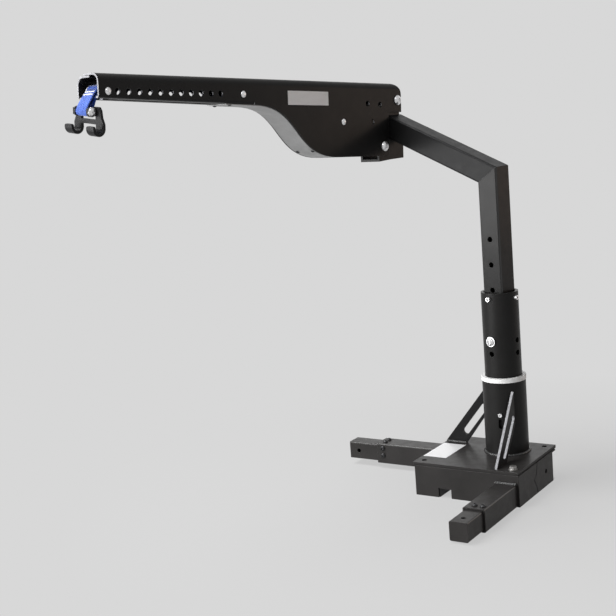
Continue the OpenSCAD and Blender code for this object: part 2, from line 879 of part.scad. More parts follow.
// Near wall with its upper bend and a top flange, the flange's top lowered by drop
module bent_wall(flange, drop) {
  difference() {
    union() {
      intersection() {
        boom_plate(near_x + 1, boom_w + 2) wall_outline();
        along_boom(near_x, -head_back - 1, boom_len + 1) mirror([1, 0])
          translate([0, -drop]) shell_section(flange);
      }
      lower_lip();
    }
    bend_cut();
  }
}

module boom_near_shell() {
  color(black) on_boom() difference() {
    bent_wall(near_flange, 0);
    tip_opening();
    wall_holes();
  }
}

module boom_far_shell() {
  color(black) on_boom() difference() {
    far_side() bent_wall(far_flange, lap);
    tip_opening();
    wall_holes();
  }
}

// Grey cover under the head, up its curve and under the start of the slim part's lips
module boom_cover() {
  inset = 0.4;
  side = boom_t + 0.3;
  outset = cover_t + 0.2;
  low = [for (i = [0 : curve_steps])
    curve[i] + (inset - (outset + inset) * i / curve_steps) * normal_at(curve, i)];
  high = [for (i = [0 : curve_steps]) low[i] + cover_t * normal_at(curve, i)];
  last = [cover_end, slim_v(cover_end) - outset];
  color(grey) on_boom() difference() {
    boom_plate(near_x - side, boom_w - 2 * side)
      polygon(concat([[cover_start, -head_depth + inset]], low, [last, last + [0, cover_t]],
        [for (i = [curve_steps : -1 : 0]) high[i]],
        [[cover_start, -head_depth + inset + cover_t]]));
    cover_screw_places() cylinder(d = cover_screw_d + screw_fit, h = 20, center = true);
  }
}

// Lower edge of the slim part at u
function slim_v(u) = -root_depth + (u - slim_start) * tan(taper);

// Height of the cover's lower face at u on the curve
function curve_at(u) = [for (i = [0 : curve_steps - 1])
  if (curve[i][0] <= u && curve[i + 1][0] > u)
    let (f = (u - curve[i][0]) / (curve[i + 1][0] - curve[i][0]))
    [curve[i] * (1 - f) + curve[i + 1] * f, normal_at(curve, i)]][0];

// The cover's two rows of screws, each standing on the cover's lower face
module cover_screw_places() {
  across = boom_w / 2 - 9;
  lower = curve_at(cover_screw_u[0]);
  for (k = [-1, 1]) {
    translate([mid_x + k * across, -lower[0][0], lower[0][1]])
      rotate([atan2(lower[1][0], lower[1][1]), 0, 0]) children();
    translate([mid_x + k * across, -cover_screw_u[1], slim_v(cover_screw_u[1]) - cover_t - 0.2])
      children();
  }
}

module cover_screws() {
  head_gap = 0.25;
  color(black) on_boom() cover_screw_places() {
    translate([0, 0, -head_gap]) mirror([0, 0, 1]) dome_head(8, 2);
    translate([0, 0, -head_gap - eps]) cylinder(d = cover_screw_d, h = 7);
  }
}

module head_bolts() {
  head_h = 7;
  color(steel) on_boom() for (p = [upper_bolt, lower_bolt]) {
    boom_bar(p[0], p[1], near_x, boom_w + 12, head_bolt_d);
    translate([near_x, -p[0], p[1]]) rotate([0, 90, 0]) button_head(bolt_head_d, head_h, 8);
  }
}

module head_nuts() {
  color(steel) on_boom() for (p = [upper_bolt, lower_bolt])
    translate([far_x, -p[0], p[1]]) rotate([0, -90, 0]) difference() {
      union() {
        cylinder(d = 24, h = 2);
        translate([0, 0, 2]) cylinder(d = 21, h = 9, $fn = 6);
      }
      translate([0, 0, -1]) cylinder(d = head_bolt_d + screw_fit, h = 14);
    }
}

module bolt_spacers() {
  len = bracket_w - 2 * bracket_t - 2 * seat_gap;
  color(steel) on_boom() for (p = [upper_bolt, lower_bolt])
    spacer(p, cheek_x - bracket_t - seat_gap, len, bolt_head_d);
}

// Sleeve round a head bolt
module spacer(p, x, len, od) {
  difference() {
    boom_bar(p[0], p[1], x, len, od);
    boom_bar(p[0], p[1], 0, through, head_bolt_d + 0.6);
  }
}

// Pin across the boom with smooth domed heads
module cross_pin(u, v) {
  head_d = 13;
  head_h = 3;
  on_boom() {
    boom_bar(u, v, near_x, boom_w, pin_d);
    translate([near_x, -u, v]) rotate([0, 90, 0]) dome_head(head_d, head_h);
    translate([far_x, -u, v]) rotate([0, -90, 0]) dome_head(head_d, head_h);
  }
}

module tip_pin() {
  color(steel) cross_pin(tip_u, -pin_drop);
}

module guide_pin() {
  color(steel) cross_pin(guide_u, -pin_drop);
}

module drum_pin() {
  color(steel) cross_pin(drum_u, drum_v);
}

// Roller with low flanges on a cross pin
module roller(u, v, r) {
  side = 3;
  flange = 1.5;
  on_boom() difference() {
    union() {
      boom_bar(u, v, strap_x + 1, strap_w + 2, 2 * r);
      boom_bar(u, v, strap_x + 1 + side, side, 2 * (r + flange));
      boom_bar(u, v, strap_x - strap_w - 1, side, 2 * (r + flange));
    }
    boom_bar(u, v, 0, through, pin_d + 2 * pin_gap);
  }
}

module tip_roller() {
  color(nylon) roller(tip_u, -pin_drop, tip_roller_r);
}

module guide_roller() {
  color(nylon) roller(guide_u, -pin_drop, guide_roller_r);
}

module strap_drum() {
  color(steel) on_boom() difference() {
    union() {
      boom_bar(drum_u, drum_v, drum_x, drum_w + 2 * drum_flange_t, 2 * drum_core_r);
      boom_bar(drum_u, drum_v, drum_x, drum_flange_t, 2 * drum_r);
      boom_bar(drum_u, drum_v, drum_x - drum_flange_t - drum_w, drum_flange_t, 2 * drum_r);
    }
    boom_bar(drum_u, drum_v, 0, through, pin_d + 2 * pin_gap);
  }
}

module strap_coil() {
  color(blue) on_boom() difference() {
    boom_bar(drum_u, drum_v, drum_x - drum_flange_t - 1, strap_w, 2 * coil_r);
    boom_bar(drum_u, drum_v, 0, through, 2 * drum_core_r);
  }
}

module gearbox_case() {
  x = drum_x - 2 * drum_flange_t - drum_w - drum_side_gap;
  t = x - far_x - boom_t - wall_gap;
  back = 38;
  low = 40;
  high = 36;
  nose_low = 16;
  nose_side = motor_r + 1;
  color(grey) on_boom() difference() {
    union() {
      boom_plate(x, t)
        between([drum_u - back, drum_v - low], [nose_u + nose_t, drum_v + high]);
      boom_plate(mid_x + nose_side, nose_side + boom_w / 2 - boom_t - wall_gap)
        between([nose_u, drum_v - nose_low], [nose_u + nose_t, drum_v + high]);
    }
    boom_bar(drum_u, drum_v, 0, through, pin_d + 0.6);
  }
}

module drive_motor() {
  color(steel) on_boom() translate([mid_x, -nose_u - nose_t, drum_v + motor_rise]) rotate([90, 0, 0]) {
    cylinder(r = motor_r, h = motor_len);
    translate([0, 0, motor_len]) cylinder(r = motor_r / 2, h = 6);
  }
}

// Webbing from the drum over the guide roller to the tip roller
module strap_run() {
  top = drum_v + coil_r;
  guide_top = -pin_drop + guide_roller_r + strap_gap;
  tip_top = -pin_drop + tip_roller_r + strap_gap;
  r = tip_roller_r + strap_gap;
  steps = 8;
  start = 90;
  inner = [for (i = [0 : steps]) let (a = start - i * tip_wrap / steps)
    [tip_u + r * cos(a), -pin_drop + r * sin(a)]];
  outer = [for (i = [steps : -1 : 0]) let (a = start - i * tip_wrap / steps)
    [tip_u + (r + strap_t) * cos(a), -pin_drop + (r + strap_t) * sin(a)]];
  color(blue) on_boom() boom_plate(strap_x, strap_w)
    polygon(concat([[drum_u, top + strap_gap], [guide_u, guide_top]], inner, outer,
      [[guide_u, guide_top + strap_t], [drum_u, top + strap_gap + strap_t]]));
}

module boom_label() {
  w = 110;
  h = 26;
  u = 198;
  v = -47;
  color("white") on_boom() translate([0.3, 0, 0]) boom_plate(near_x, 0.3)
    between([u, v], [u + w, v + h]);
}

// Hangs from the middle of the hook's pin, which is the origin, tilted to the near side
module hung() {
  swung() translate([mid_x, -pin_s, pin_z]) rotate([0, hook_tilt, 0]) children();
}

// Round bar along the hook's pin, from x towards -X
module pin_bar(x, len, d) {
  translate([x, 0, 0]) rotate([0, -90, 0]) cylinder(d = d, h = len);
}

// Sewn loop of webbing from the tip roller down round the hook's sleeve
module strap_loop() {
  a = 90 - tip_wrap + boom_rise;
  r = tip_roller_r + strap_gap + strap_t / 2;
  inner = sleeve_r + 0.2;
  top = [roller_s - pin_s + r * cos(a) + loop_tail * sin(a),
    roller_z - pin_z + r * sin(a) - loop_tail * cos(a)];
  color(blue) hung() translate([strap_w / 2, 0, 0]) rotate([90, 0, -90]) linear_extrude(strap_w)
    difference() {
      hull() {
        circle(inner + strap_t, $fn = 32);
        translate(top) circle(strap_t / 2, $fn = 16);
      }
      hull() {
        circle(inner, $fn = 32);
        translate(top - [5, 10]) circle(0.2, $fn = 8);
      }
    }
}

module pin_sleeve() {
  color(steel) hung() difference() {
    pin_bar(strap_w / 2 + 1, strap_w + 2, 2 * sleeve_r);
    pin_bar(big / 2, big, hook_pin_d + 2 * pin_gap);
  }
}

module hook_pin() {
  color(steel) hung() {
    pin_bar(ear_x, 2 * ear_x + hook_nut_t + 1, hook_pin_d);
    translate([ear_x, 0, 0]) rotate([0, 90, 0]) button_head(2 * hook_pin_d, 4, 5);
  }
}

module hook_nut() {
  color(steel) hung() translate([-ear_x, 0, 0]) rotate([0, -90, 0]) difference() {
    cylinder(d = 1.7 * hook_pin_d, h = hook_nut_t, $fn = 6);
    translate([0, 0, -1]) cylinder(d = hook_pin_d + screw_fit, h = hook_nut_t + 2);
  }
}

// Front outline of the hook's plate: x across, y up from the pin
module hook_outline() {
  half = hook_w / 2;
  leg_in = half - hook_leg_w;
  bar_top = -12.5;
  bar_low = -20;
  for (k = [0, 1]) mirror([k, 0]) {
    polygon([[leg_in, curl_z], [half, curl_z], [half, -19], [half - 5, -9], [half - 7, 3],
      [half - 11, ear_top], [ear_x - ear_t, ear_top], [ear_x - ear_t, -7], [leg_in, -7],
      [leg_in, bar_top]]);
  }
  between([-leg_in - eps, bar_low], [leg_in + eps, bar_top]);
}

// Cuts the rounded corner off a hook's raised tip at x = 0, in straight steps
module tip_corner(rise) {
  corner = 3.5;
  mid = 0.3 * corner;
  rotate([90, 0, 0]) linear_extrude(hook_t + 2)
    polygon([[1, rise - corner], [1, rise + 1], [-corner, rise + 1], [-corner, rise],
      [-mid, rise - mid], [0, rise - corner]]);
}

// One hook: a half ring below the plate's lower edge and its raised tip
module hook_curl(x) {
  r0 = hook_r;
  r1 = hook_r + hook_t;
  rise = 4.5;
  translate([x, 0, curl_z]) difference() {
    rotate([90, 0, -90]) linear_extrude(hook_leg_w) {
      translate([r0, 0]) intersection() {
        difference() {
          circle(r1);
          circle(r0);
        }
        translate([-r1 - 1, -r1 - 1]) square([2 * r1 + 2, r1 + 1 + eps]);
      }
      between([2 * r0, -eps], [2 * r0 + hook_t, rise]);
    }
    translate([0, 1 - 2 * r0, 0]) tip_corner(rise);
    translate([-hook_leg_w, 1 - 2 * r0, 0]) mirror([1, 0, 0]) tip_corner(rise);
  }
}

module hook() {
  half = hook_w / 2;
  color(black) hung() difference() {
    union() {
      translate([0, hook_back, 0]) rotate([90, 0, 0]) linear_extrude(hook_t) hook_outline();
      translate([0, hook_back - hook_t, 0]) {
        hook_curl(half);
        hook_curl(-half + hook_leg_w);
      }
      for (k = [-1, 1]) translate([k * ear_x - (k > 0 ? ear_t : 0), 0, 0]) rotate([90, 0, 90])
        linear_extrude(ear_t) {
          circle(ear_top);
          between([-ear_top, -5], [hook_back, ear_top - 2]);
        }
    }
    rotate([0, 90, 0]) cylinder(d = hook_pin_d + 2 * pin_gap, h = 200, center = true);
  }
}

base_box();
base_box_rear();
base_plate();
floor_channel();
rating_label();
base_bolt();
base_welds();
gusset_left();
gusset_front();
pedestal_foot();
pedestal_tube();
upper_bush();
lower_bush();
thrust_washer();
pedestal_lock();
left_socket();
front_socket();
left_socket_screws();
front_socket_screws();
left_leg();
left_leg_cap();
front_leg();
front_leg_cap();
swivel_tube();
rim_screws();
lock_bolt();
mast_post();
mast_arm();
head_bracket();
boom_near_shell();
boom_far_shell();
boom_cover();
cover_screws();
head_bolts();
head_nuts();
bolt_spacers();
tip_pin();
guide_pin();
drum_pin();
gearbox_case();
drive_motor();
strap_run();
boom_label();
strap_drum();
strap_coil();
tip_roller();
guide_roller();
strap_loop();
pin_sleeve();
hook_pin();
hook_nut();
hook();
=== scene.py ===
"""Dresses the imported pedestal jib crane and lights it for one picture, in metres."""
import json
import math

import bmesh
import bpy
from mathutils import Matrix, Vector


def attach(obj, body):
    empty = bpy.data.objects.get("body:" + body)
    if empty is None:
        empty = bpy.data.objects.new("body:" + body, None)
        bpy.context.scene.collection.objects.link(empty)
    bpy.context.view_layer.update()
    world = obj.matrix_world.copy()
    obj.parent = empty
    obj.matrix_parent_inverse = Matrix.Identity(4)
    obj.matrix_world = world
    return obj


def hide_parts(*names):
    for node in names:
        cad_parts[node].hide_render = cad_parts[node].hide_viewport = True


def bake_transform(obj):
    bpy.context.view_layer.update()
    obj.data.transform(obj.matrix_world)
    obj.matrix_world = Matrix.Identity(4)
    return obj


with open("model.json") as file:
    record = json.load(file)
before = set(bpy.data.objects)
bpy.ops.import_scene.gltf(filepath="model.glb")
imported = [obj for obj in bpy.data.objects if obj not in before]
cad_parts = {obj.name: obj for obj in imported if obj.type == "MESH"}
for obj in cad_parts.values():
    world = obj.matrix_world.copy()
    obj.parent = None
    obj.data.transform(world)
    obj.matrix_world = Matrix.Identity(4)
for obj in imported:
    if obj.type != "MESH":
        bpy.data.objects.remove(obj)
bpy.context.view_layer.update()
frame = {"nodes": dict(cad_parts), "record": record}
nodes = frame["nodes"]
scene = bpy.context.scene

MM = 0.001

# Sizes shared with the part's source, in millimetres and degrees
BOOM_SWING = 11.0
BOOM_RISE = 3.9
ARM_RISE = 23.0
ARM_REACH = 233.0
ELBOW_Z = 621.0
HEAD_ABOVE_ARM = 89.5
BOOM_W = 58.0
BOOM_LEN = 737.0
MID_X = -ARM_REACH - BOOM_W / 2
BOOM_ROOT_Z = ELBOW_Z + ARM_REACH * math.tan(math.radians(ARM_RISE)) + HEAD_ABOVE_ARM
TIP_U = BOOM_LEN - 19
PIN_DROP = 29.5
TIP_ROLLER_R = 9.5
GUIDE_U = 420.0
GUIDE_ROLLER_R = 8.0
DRUM_U = 155.0
DRUM_V = -78.3
DRUM_CORE_R = 18.0
COIL_R = 36.0
STRAP_W = 28.0
STRAP_T = 2.0
STRAP_GAP = 0.3
HOOK_LEAD = 30.0
HOOK_DROP = 29.5
HOOK_TILT = 7.0
SLEEVE_R = 5.2
PLATE_Z = 67.0
PEDESTAL_R = 43.0
BOX_H = 61.0
SEAM_Y = -46.0
# The seam's path: share of the box's height, and offset from SEAM_Y
SEAM = ((0, -1), (0.2, -2.6), (0.51, -14.4), (0.63, -3.5), (1, 3.2))

# Webbing as it lies in the picture, in millimetres and degrees
LIE = STRAP_GAP + STRAP_T / 2
TIP_START = 88.0
TIP_LEAVE = 27.0
WRAP_START = 35.0
WRAP_PAST = 52.0
FRONT_BOW = 1.2
INNER_PLY = (-1.8, -2.4)
EDGE_ROUND = 0.6

# Sewn bars: their rows on the loop, the thread and the zigzag, in millimetres
STITCH_ROWS = (2, 4)
STITCHES = 19
STITCH_POINTS = 6
STITCH_EDGE = 1.5
STITCH_FACE = 1.05
THREAD_R = 0.75
ZIGZAG = 1.0
STITCH_LIFT = 0.5
STITCH_OUT = (0.83, 0.55)
STITCH_ALONG = (0.55, -0.83)

# Weld beads: leg sizes, the places of the straight runs, and the ripples, in millimetres
PEDESTAL_BEAD = 4.2
GUSSET_BEAD = 3.8
SOCKET_BEAD = 4.4
GUSSET_FOOT_X = (-144, -98)
GUSSET_FACE_Y = 18.5
SOCKET_SIDES_X = (31.5, 75.5)
SOCKET_FACE_Y = -134
SOCKET_TOP_Z = 44
RIPPLE_PITCH = 4.4
RIPPLE_DEPTH = 0.2
BEAD_UNEVENNESS = 0.08
WELD_SEED = 5
RING_STEPS = 240


# Frames: the mast's turning frame and the boom's own frame
def swung(point):
    """Point of the turning frame, in millimetres, to metres in the shared frame."""
    turn = math.radians(BOOM_SWING)
    x, y, z = point
    across = x * math.cos(turn) + y * math.sin(turn)
    ahead = -x * math.sin(turn) + y * math.cos(turn)
    return Vector((across, ahead, z)) * MM


def boom_to_swung(x, u, v):
    """Point of the boom's frame, u along it and v above it, to the turning frame."""
    rise = math.radians(BOOM_RISE)
    s = u * math.cos(rise) - v * math.sin(rise)
    z = BOOM_ROOT_Z + u * math.sin(rise) + v * math.cos(rise)
    return (x, -s, z)


def on_boom(x, u, v):
    """Point of the boom's frame to metres in the shared frame."""
    return swung(boom_to_swung(x, u, v))


_, ROLLER_Y, ROLLER_Z = boom_to_swung(0, TIP_U, -PIN_DROP)
PIN_S = -ROLLER_Y + HOOK_LEAD
PIN_Z = ROLLER_Z - HOOK_DROP


# Materials
class Look:
    """Short hand for a material: its shader and the nodes that feed it."""

    def __init__(self, name):
        self.mat = bpy.data.materials.new(name)
        self.mat.use_nodes = True
        self.tree = self.mat.node_tree
        self.tree.nodes.clear()
        self.out = self.tree.nodes.new("ShaderNodeOutputMaterial")
        self.bsdf = self.tree.nodes.new("ShaderNodeBsdfPrincipled")
        self.link(self.bsdf.outputs[0], self.out.inputs[0])
        place = self.tree.nodes.new("ShaderNodeTexCoord")
        self.coord = place.outputs["Object"]
        self.coord_normal = place.outputs["Normal"]

    def link(self, source, socket):
        self.tree.links.new(source, socket)

    def node(self, kind, **settings):
        node = self.tree.nodes.new(kind)
        for key, value in settings.items():
            setattr(node, key, value)
        return node

    def feed(self, node, key, value):
        """Links an output to a node's input, or sets the input to a plain value."""
        socket = node.inputs[key]
        if isinstance(value, bpy.types.NodeSocket):
            self.link(value, socket)
        else:
            socket.default_value = value

    def surface(self, key, value):
        """Feeds one input of the shader."""
        self.feed(self.bsdf, key, value)

    def noise(self, scale, detail=3.0, rough=0.55):
        node = self.node("ShaderNodeTexNoise")
        self.link(self.coord, node.inputs["Vector"])
        self.feed(node, "Scale", scale)
        self.feed(node, "Detail", detail)
        self.feed(node, "Roughness", rough)
        return node.outputs["Fac"]

    def remap(self, value, low, high, to_low=0.0, to_high=1.0):
        """Carries the range from low to high over to another range, and holds it there."""
        node = self.node("ShaderNodeMapRange")
        self.link(value, node.inputs["Value"])
        self.feed(node, "From Min", low)
        self.feed(node, "From Max", high)
        self.feed(node, "To Min", to_low)
        self.feed(node, "To Max", to_high)
        return node.outputs["Result"]

    def math(self, operation, first, second=0.0):
        node = self.node("ShaderNodeMath", operation=operation)
        self.feed(node, 0, first)
        self.feed(node, 1, second)
        return node.outputs[0]

    def dot(self, first, second):
        """How far two directions agree."""
        node = self.node("ShaderNodeVectorMath", operation="DOT_PRODUCT")
        self.feed(node, 0, first)
        self.feed(node, 1, second)
        return node.outputs["Value"]

    def axes(self, vector):
        """The vector's three numbers."""
        node = self.node("ShaderNodeSeparateXYZ")
        self.link(vector, node.inputs[0])
        return node.outputs

    def mix(self, share, first, second):
        """Blend of two colours, which are the Mix node's inputs 6 and 7."""
        node = self.node("ShaderNodeMix", data_type="RGBA")
        self.feed(node, 0, share)
        self.feed(node, 6, first)
        self.feed(node, 7, second)
        return node.outputs[2]

    def bump(self, height, strength, distance, normal=None):
        node = self.node("ShaderNodeBump")
        self.feed(node, "Strength", strength)
        self.feed(node, "Distance", distance)
        self.link(height, node.inputs["Height"])
        if normal:
            self.link(normal, node.inputs["Normal"])
        return node.outputs[0]

    def rounded(self, radius):
        """Normal that is rounded over sharp edges."""
        node = self.node("ShaderNodeBevel", samples=6)
        self.feed(node, "Radius", radius)
        return node.outputs[0]

    def edges(self, soft):
        """1 where the rounded normal leaves the flat one, and 0 on flat faces."""
        flat = self.node("ShaderNodeNewGeometry").outputs["Normal"]
        return self.remap(self.dot(soft, flat), 0.99, 0.8)

    def facing(self, axis, low, high):
        """Rises from 0 to 1 as the surface's own normal turns from low to high along an axis."""
        return self.remap(self.math("ABSOLUTE", self.dot(self.coord_normal, axis)), low, high)

    def corners(self):
        """1 on the rounded corners of square pieces, whose own normals lean away from each axis."""
        sizes = [self.math("ABSOLUTE", part) for part in self.axes(self.coord_normal)]
        most = self.math("MAXIMUM", self.math("MAXIMUM", sizes[0], sizes[1]), sizes[2])
        return self.remap(most, 0.97, 0.86)


def grey(level):
    return (level, level, level, 1.0)


def toned(colour, by):
    """The colour made lighter or darker."""
    return [channel * by for channel in colour[:3]] + [1.0]


PAINT_BLACK = (0.0105, 0.0102, 0.01, 1.0)
PLATE_BLACK = (0.008, 0.008, 0.0082, 1.0)
BASE_BLACK = (0.0245, 0.023, 0.0224, 1.0)
# Colour of the painted shadow in the seam on the base's right side
SEAM_SHADOW_BLACK = grey(0.0008)
DUST = (0.06, 0.055, 0.05, 1.0)
# Pale grey of rubbed edges, also a painted highlight on the cut plates, the arm and the weld beads
RUBBED_EDGE_AND_HIGHLIGHT = (0.22, 0.22, 0.225, 1.0)
# Pale steel of unpainted faces, also a painted highlight on the front gusset's edges
BARE_STEEL_AND_HIGHLIGHT = (0.42, 0.42, 0.44, 1.0)
FADED_BLUE = (0.12, 0.28, 0.95, 1.0)

# The webbing's cords and picks, and how far from the seam its shadow is full and gone, in metres
CORD_PITCH = 0.0021
PICK_PITCH = 0.0016
SEAM_CORE = 0.0016
SEAM_FADE = 0.0032
# Largest offset that the seam's curve can hold, in millimetres
SEAM_REACH = 20.0


def seam_shadow(look):
    """1 along the wandering line on the right side where the base's two folded pieces meet."""
    place = look.axes(look.coord)
    height = look.math("DIVIDE", place[2], BOX_H * MM)
    path = look.node("ShaderNodeFloatCurve")
    look.link(height, path.inputs["Value"])
    line = path.mapping.curves[0]
    spots = [(share, 0.5 + offset / (2 * SEAM_REACH)) for share, offset in SEAM]
    line.points[0].location = spots[0]
    line.points[-1].location = spots[-1]
    for spot in spots[1:-1]:
        line.points.new(*spot)
    for point in line.points:
        point.handle_type = "VECTOR"
    path.mapping.update()
    offset = look.math("SUBTRACT", path.outputs[0], 0.5)
    offset = look.math("MULTIPLY", offset, 2 * SEAM_REACH * MM)
    away = look.math("SUBTRACT", look.math("SUBTRACT", place[1], SEAM_Y * MM), offset)
    ragged = look.remap(look.noise(400.0, 4.0, 0.6), 0.3, 0.7, 0.6, 1.5)
    distance = look.math("DIVIDE", look.math("ABSOLUTE", away), ragged)
    near = look.remap(distance, SEAM_CORE, SEAM_FADE, 1.0, 0.0)
    return look.math("MULTIPLY", near, look.facing((1, 0, 0), 0.7, 0.9))


def powder_coat(name, base, rough=0.42, wear_and_highlight=0.35, bare_and_highlit=None, coat=0.12, glint=None, dark=None):
    """Satin powder coat: fine orange peel, faint mottling and dust, and lighter edges: rubbed
    paint, and on the cut plates, the arm and the weld beads also a painted highlight.

    bare gives the direction and range of faces in pale steel: unpainted faces, and on the
    front gusset's edges also a painted highlight. glint marks where the coat shines most,
    and dark marks what lies in painted shadow.
    """
    look = Look(name)
    mottling = look.noise(14.0, 4.0, 0.6)
    dust = look.noise(60.0, 6.0, 0.65)
    peel = look.noise(1400.0, 2.0, 0.5)
    soft = look.rounded(0.0011)
    rubbing = look.remap(look.noise(220.0, 4.0, 0.6), 0.42, 0.6, 0.25, 1.0)
    worn_and_highlit = look.math("MULTIPLY", look.edges(soft), rubbing)
    tone = look.mix(look.remap(mottling, 0.3, 0.7), base, toned(base, 1.4))
    tone = look.mix(look.remap(dust, 0.64, 0.84, 0.0, 0.2), tone, DUST)
    # Lighter edges: rubbed paint, and on the cut plates, the arm and the weld beads also a painted
    # highlight
    tone = look.mix(look.math("MULTIPLY", worn_and_highlit, wear_and_highlight), tone, RUBBED_EDGE_AND_HIGHLIGHT)
    # Pale steel on unpainted faces, and on the front gusset's edges also a painted highlight
    if bare_and_highlit:
        scuff = look.remap(look.noise(300.0, 4.0, 0.6), 0.3, 0.6, 0.55, 1.0)
        tone = look.mix(look.math("MULTIPLY", look.facing(*bare_and_highlit), scuff), tone, BARE_STEEL_AND_HIGHLIGHT)
    sheen = look.remap(glint(look), 0.0, 1.0, coat, 1.0) if glint else coat
    # Painted shadow where dark is given: darker colour and less coat
    if dark:
        shade = dark(look)
        tone = look.mix(shade, tone, SEAM_SHADOW_BLACK)
        sheen = look.math("MULTIPLY", sheen, look.math("SUBTRACT", 1.0, shade))
    look.surface("Base Color", tone)
    look.surface("Roughness", look.remap(dust, 0.3, 0.7, rough - 0.05, rough + 0.1))
    look.surface("Specular IOR Level", 0.08)
    look.surface("Coat Weight", sheen)
    look.surface("Coat Roughness", 0.2)
    look.surface("Coat Normal", soft)
    look.surface("Normal", look.bump(peel, 0.35, 0.0002, soft))
    return look.mat


def plated(name, base, rough=0.22):
    """Zinc plate or black oxide: metal with fine turning marks and a patchy bloom."""
    look = Look(name)
    bloom = look.noise(120.0, 4.0, 0.6)
    grain = look.noise(2600.0, 2.0, 0.5)
    look.surface("Base Color", look.mix(look.remap(bloom, 0.35, 0.65), base, toned(base, 0.78)))
    look.surface("Metallic", 0.85)
    look.surface("Roughness", look.remap(bloom, 0.3, 0.7, rough, rough + 0.18))
    look.surface("Normal", look.bump(grain, 0.25, 0.00008, look.rounded(0.0005)))
    return look.mat


def nylon(name):
    """Natural nylon: faintly translucent white with moulding bloom."""
    look = Look(name)
    cloud = look.noise(50.0, 3.0, 0.5)
    fine = look.noise(900.0, 3.0, 0.5)
    tone = look.mix(look.remap(cloud, 0.3, 0.7), grey(0.97), (0.9, 0.9, 0.89, 1))
    look.surface("Base Color", tone)
    look.surface("Subsurface Weight", 0.12)
    look.surface("Subsurface Radius", (0.004, 0.004, 0.004))
    look.surface("Roughness", look.remap(cloud, 0.3, 0.7, 0.35, 0.5))
    look.surface("Normal", look.bump(fine, 0.2, 0.0001, look.rounded(0.0012)))
    return look.mat


def grey_paint(name, base):
    """Satin grey finish with a soft roller texture."""
    look = Look(name)
    blotch = look.noise(22.0, 4.0, 0.55)
    grain = look.noise(700.0, 3.0, 0.6)
    look.surface("Base Color", look.mix(look.remap(blotch, 0.3, 0.7), base, toned(base, 1.3)))
    look.surface("Roughness", look.remap(grain, 0.3, 0.7, 0.36, 0.5))
    look.surface("Metallic", 0.35)
    look.surface("Normal", look.bump(grain, 0.3, 0.0001, look.rounded(0.0008)))
    return look.mat


def webbing(name, base):
    """Woven webbing from its own UV map: U across in metres, V along in metres."""
    look = Look(name)
    across, along, _ = look.axes(look.node("ShaderNodeUVMap", uv_map="weave").outputs[0])
    row = look.math("SINE", look.math("MULTIPLY", across, math.pi * 2 / CORD_PITCH))
    pick = look.math("MULTIPLY", along, math.pi * 2 / PICK_PITCH)
    weave = look.math("SINE", look.math("ADD", pick, look.math("MULTIPLY", row, 1.3)))
    height = look.math("ADD", look.math("MULTIPLY", row, 0.6), look.math("MULTIPLY", weave, 0.5))
    fuzz = look.noise(3000.0, 3.0, 0.7)
    # Painted shade: the weave's hollows, low in the bump's height, come out darker
    shade = look.remap(look.math("ADD", height, fuzz), -0.6, 1.6)
    tone = look.mix(shade, toned(base, 0.55), base)
    tone = look.mix(look.remap(look.noise(90.0, 3.0), 0.4, 0.7, 0.0, 0.25), tone, FADED_BLUE)
    look.surface("Base Color", tone)
    look.surface("Sheen Weight", 0.35)
    look.surface("Sheen Roughness", 0.4)
    look.surface("Roughness", look.remap(fuzz, 0.3, 0.7, 0.55, 0.75))
    look.surface("Normal", look.bump(height, 0.6, 0.00025))
    return look.mat


def thread(name):
    """White sewing thread with twisted fibres."""
    look = Look(name)
    twist = look.noise(4000.0, 2.0, 0.5)
    look.surface("Base Color", look.mix(look.remap(twist, 0.3, 0.7), grey(0.92), grey(0.7)))
    look.surface("Roughness", 0.7)
    look.surface("Normal", look.bump(twist, 0.5, 0.0001))
    return look.mat


def label_film(name):
    """Blank white film: faint waviness and a few handling marks."""
    look = Look(name)
    marks = look.noise(160.0, 5.0, 0.6)
    wave = look.noise(35.0, 2.0, 0.5)
    tone = look.mix(look.remap(marks, 0.6, 0.8, 0.0, 0.5), (0.93, 0.93, 0.94, 1), grey(0.78))
    look.surface("Base Color", tone)
    look.surface("Roughness", look.remap(marks, 0.3, 0.7, 0.3, 0.42))
    look.surface("Normal", look.bump(wave, 0.2, 0.0004))
    return look.mat


ALONG_BOOM = tuple((on_boom(0, 1, 0) - on_boom(0, 0, 0)) / MM)

BLACK = powder_coat("powder_coat_black", PAINT_BLACK)
# High rubbing share: the lighter edges of the cut plates and the arm are partly a painted highlight
BLACK_EDGE = powder_coat("powder_coat_cut_plate", PLATE_BLACK, rough=0.4, wear_and_highlight=0.9, coat=0.05)
# Front gusset: its pale cut edges are partly a painted highlight
BARE_EDGE_AND_HIGHLIGHT = powder_coat("powder_coat_bare_edges_and_highlight", PLATE_BLACK, rough=0.4, wear_and_highlight=0.9,
                        bare_and_highlit=((1, 0, 0), 0.6, 0.4))
CUT_END = powder_coat("powder_coat_cut_end", (0.0075, 0.0073, 0.0072, 1.0), wear_and_highlight=0.6,
                      bare_and_highlit=(ALONG_BOOM, 0.8, 0.95))
HOOK_COAT = powder_coat("powder_coat_hook", (0.009, 0.0088, 0.0095, 1.0), rough=0.38, wear_and_highlight=0.8)
BASE_COAT = powder_coat("powder_coat_base", BASE_BLACK, glint=Look.corners)
# The box carries the painted shadow along its seam
BOX_COAT = powder_coat("powder_coat_box", BASE_BLACK, glint=Look.corners, dark=seam_shadow)
POST_COAT = powder_coat("powder_coat_post", PAINT_BLACK, glint=Look.corners)
